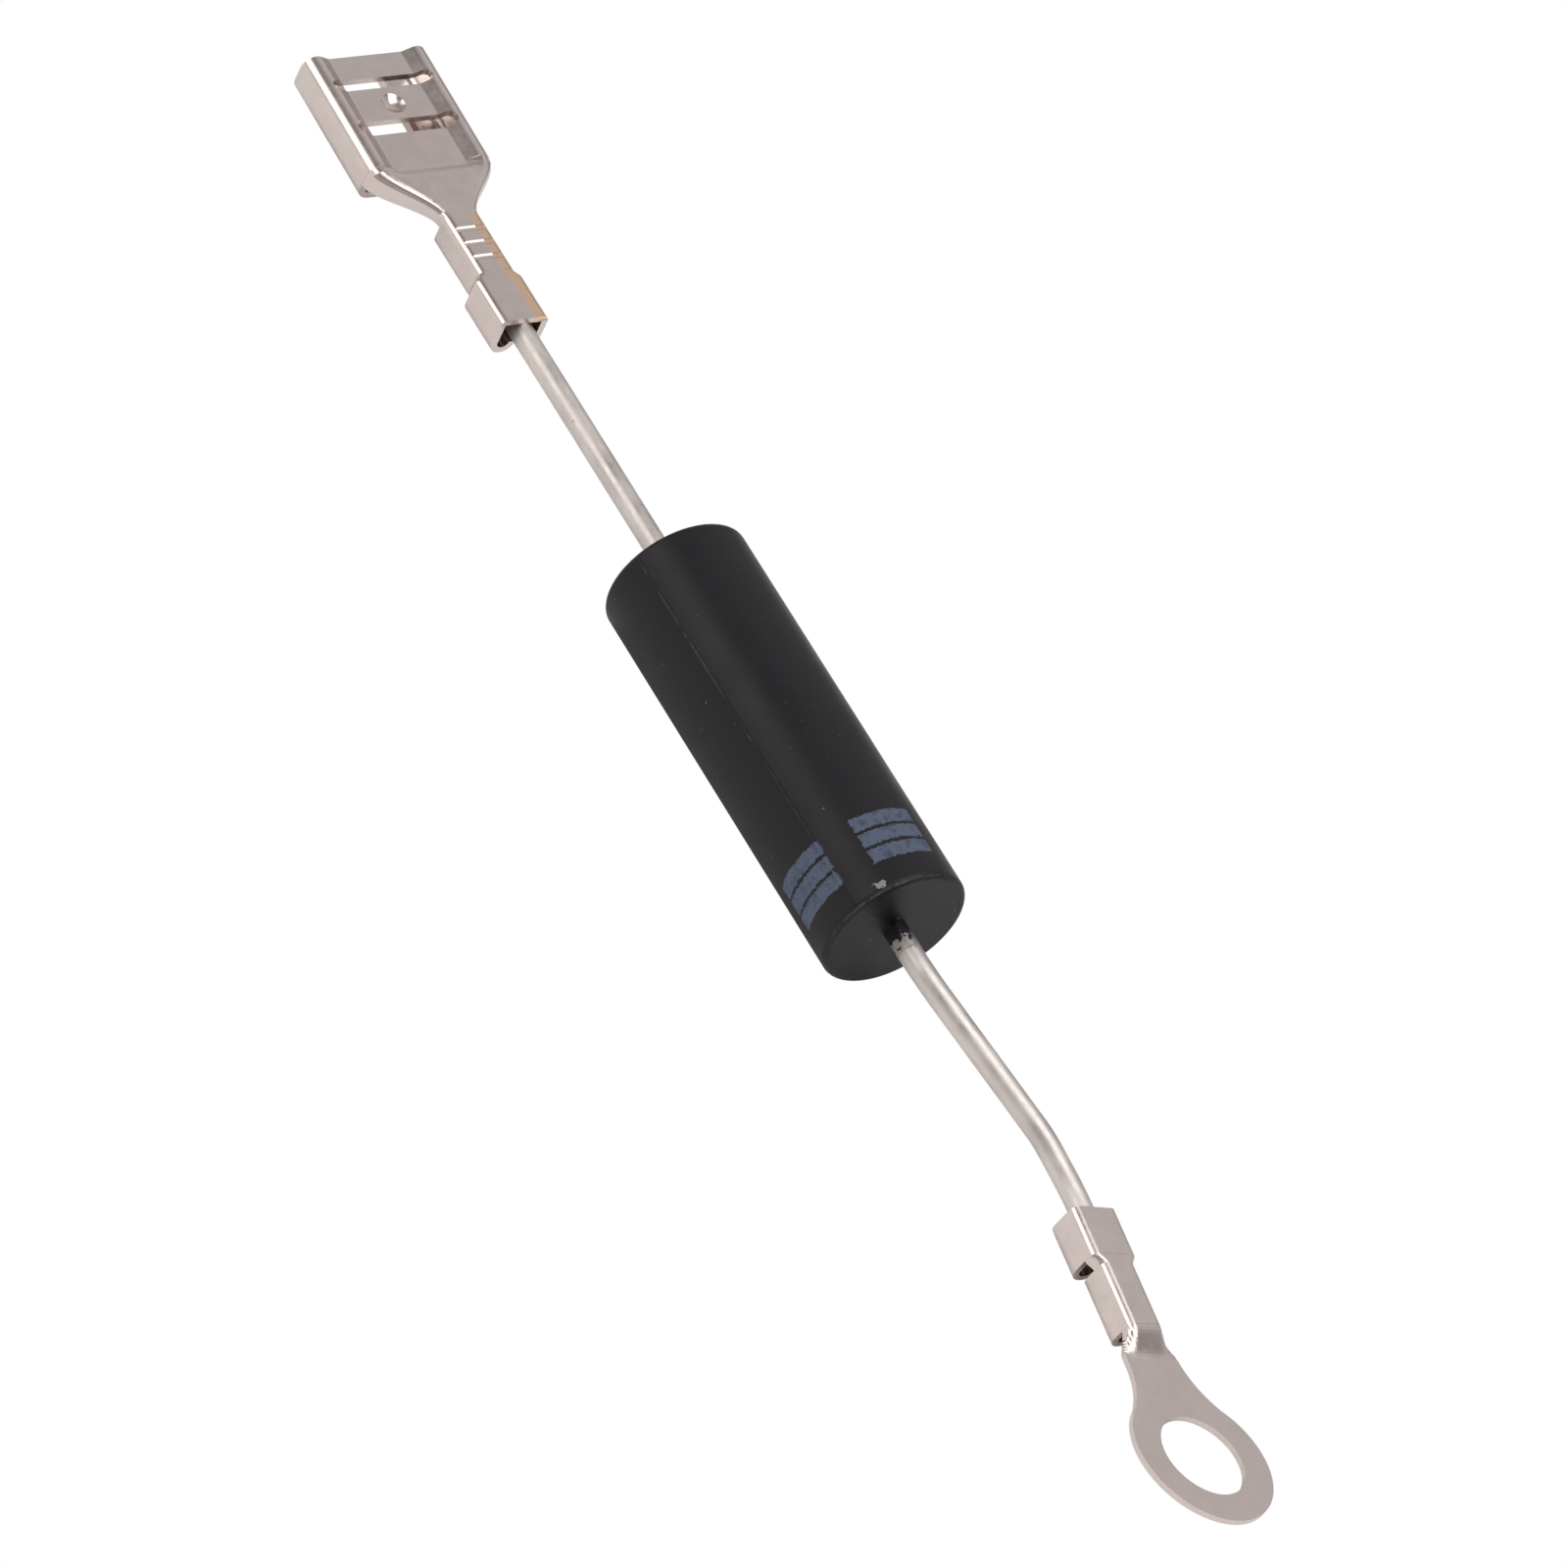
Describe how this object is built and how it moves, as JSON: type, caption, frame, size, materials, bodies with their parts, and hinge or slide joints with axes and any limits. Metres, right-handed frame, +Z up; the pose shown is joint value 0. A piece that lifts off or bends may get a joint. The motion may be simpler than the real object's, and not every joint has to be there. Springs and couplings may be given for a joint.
{
  "type": "axial rectifier diode",
  "caption": "High-voltage axial rectifier: moulded cylinder with polarity stripes, a straight lead crimped to a push-on receptacle and a bent lead crimped to a flat ring terminal",
  "frame": {"origin": "centre of the moulded case, on its axis", "axes": "+X along the case from the receptacle's end to the ring's end, +Y sideways to the left of +X, +Z up from the surface the part lies on"},
  "size_m": [0.0898, 0.0095, 0.0074],
  "materials": {
    "epoxy": "moulded epoxy, satin, faint orange peel",
    "lead_wire": "solder-dipped copper wire, slightly mottled",
    "tinned_sheet": "tin-plated brass sheet, bright with stamping marks",
    "silicon": "sawn silicon dice",
    "solder": "thin solder layers",
    "coating": "cured silicone junction coating"
  },
  "bodies": {
    "root": {"case": "epoxy", "anode_lead": "lead_wire", "cathode_lead": "lead_wire", "junction_coating": "coating", "die_01": "silicon", "die_02": "silicon", "die_03": "silicon", "die_04": "silicon", "die_05": "silicon", "die_06": "silicon", "die_07": "silicon", "die_08": "silicon", "die_09": "silicon", "die_10": "silicon", "die_11": "silicon", "die_12": "silicon", "solder_01": "solder", "solder_02": "solder", "solder_03": "solder", "solder_04": "solder", "solder_05": "solder", "solder_06": "solder", "solder_07": "solder", "solder_08": "solder", "solder_09": "solder", "solder_10": "solder", "solder_11": "solder", "solder_12": "solder", "solder_13": "solder", "receptacle": "tinned_sheet", "ring_terminal": "tinned_sheet"}
  },
  "joints": []
}
